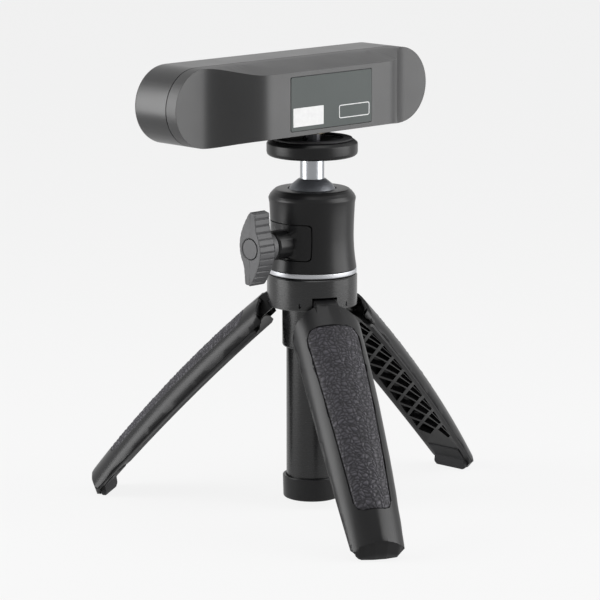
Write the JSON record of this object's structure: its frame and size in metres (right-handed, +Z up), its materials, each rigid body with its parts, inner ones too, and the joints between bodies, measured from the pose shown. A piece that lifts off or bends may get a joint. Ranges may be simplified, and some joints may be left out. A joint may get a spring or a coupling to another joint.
{
  "type": "three-d scanner on tripod",
  "caption": "Bar-shaped handheld 3-D scanner on a mini tripod with folding lattice legs, a two-stage mast and a ball head with a wing knob.",
  "frame": {"origin": "centre of the bounding box, at the floor under the feet", "axes": "+Z up; +X along the scanner bar, towards the side of the wing knob; -Y the way the scanner's window looks"},
  "size_m": [0.1394, 0.142, 0.1565],
  "materials": {
    "housing": "satin, fine grain",
    "cover": "satin, fine grain",
    "label": "matt printed film, bare",
    "window": "dark filter glass",
    "lens": "coated glass in a black barrel",
    "lamp": "diffuser",
    "sheet": "brushed",
    "board": "solder mask",
    "bright": "satin chrome",
    "brass": "turned",
    "head": "black anodised, satin",
    "rubber": "matt",
    "ball": "grey anodised, satin",
    "knob": "matt",
    "tube": "black anodised, satin",
    "plastic": "satin",
    "frame": "matt",
    "leather": "leather-grained inlay"
  },
  "bodies": {
    "base": {"leg_hub": "tube", "hinge_pin_front": "bright", "hinge_pin_right": "bright", "hinge_pin_left": "bright", "hub_sleeve": "tube", "column_tube": "tube", "column_cap": "plastic", "mast_gland": "rubber"},
    "leg_front": {"leg_shell_front": "plastic", "leg_frame_front": "frame", "leg_grip_front": "leather", "leg_foot_front": "rubber"},
    "leg_right": {"leg_shell_right": "plastic", "leg_frame_right": "frame", "leg_grip_right": "leather", "leg_foot_right": "rubber"},
    "leg_left": {"leg_shell_left": "plastic", "leg_frame_left": "frame", "leg_grip_left": "leather", "leg_foot_left": "rubber"},
    "mast_lower": {"mast_lower_tube": "bright", "mast_lower_bush": "plastic"},
    "mast_upper": {"mast_upper_tube": "bright", "mast_upper_bush": "plastic", "head_pivot": "sheet", "trim_ring": "bright"},
    "head": {"head_body": "head", "lock_panel": "head", "ball_seat": "rubber", "brake_block": "sheet"},
    "knob": {"wing_knob": "knob", "knob_cap": "knob", "clamp_screw": "bright"},
    "ball": {"ball": "ball"},
    "scanner": {"ball_stem": "bright", "top_plate": "head", "plate_pad": "rubber", "mounting_screw": "bright", "front_housing": "housing", "rear_cover": "cover", "label_plate": "label", "front_window": "window", "optics_chassis": "sheet", "circuit_board": "board", "data_socket": "bright", "thread_insert": "brass", "left_camera": "lens", "right_camera": "lens", "pattern_projector": "lens", "colour_camera": "lens", "fill_light_left": "lamp", "fill_light_right": "lamp", "chassis_screw_upper_left": "bright", "chassis_screw_upper_right": "bright", "chassis_screw_lower_left": "bright", "chassis_screw_lower_right": "bright"}
  },
  "joints": [
    {"name": "leg_front_fold", "type": "hinge", "parent": "base", "child": "leg_front", "pos_m": [0.01573, 0.00946, 0.07319], "axis": [-0.887, 0.4617, 0], "range_deg": [0, 43.5]},
    {"name": "leg_right_fold", "type": "hinge", "parent": "base", "child": "leg_right", "pos_m": [-0.00223, -0.00199, 0.07319], "axis": [0.0436, -0.999, 0], "range_deg": [0, 43.5]},
    {"name": "leg_left_fold", "type": "hinge", "parent": "base", "child": "leg_left", "pos_m": [0.01666, -0.01183, 0.07319], "axis": [0.8434, 0.5373, 0], "range_deg": [0, 43.5]},
    {"name": "mast_lower_slide", "type": "slide", "parent": "base", "child": "mast_lower", "axis": [0, 0, 1], "range_m": [0, 0.045]},
    {"name": "mast_upper_slide", "type": "slide", "parent": "mast_lower", "child": "mast_upper", "axis": [0, 0, 1], "range_m": [0, 0.045]},
    {"name": "head_pan", "type": "hinge", "parent": "mast_upper", "child": "head", "pos_m": [0.01005, -0.00145, 0.08444], "axis": [0, 0, 1], "continuous": true},
    {"name": "ball_tilt", "type": "hinge", "parent": "head", "child": "ball", "pos_m": [0.01005, -0.00145, 0.10699], "axis": [1, 0, 0], "range_deg": [-32, 32]},
    {"name": "ball_spin", "type": "hinge", "parent": "ball", "child": "scanner", "pos_m": [0.01005, -0.00145, 0.10699], "axis": [0, 0, 1], "continuous": true},
    {"name": "knob_turn", "type": "hinge", "parent": "head", "child": "knob", "pos_m": [0.03945, -0.00145, 0.09394], "axis": [1, 0, 0], "range_deg": [0, 270]}
  ]
}
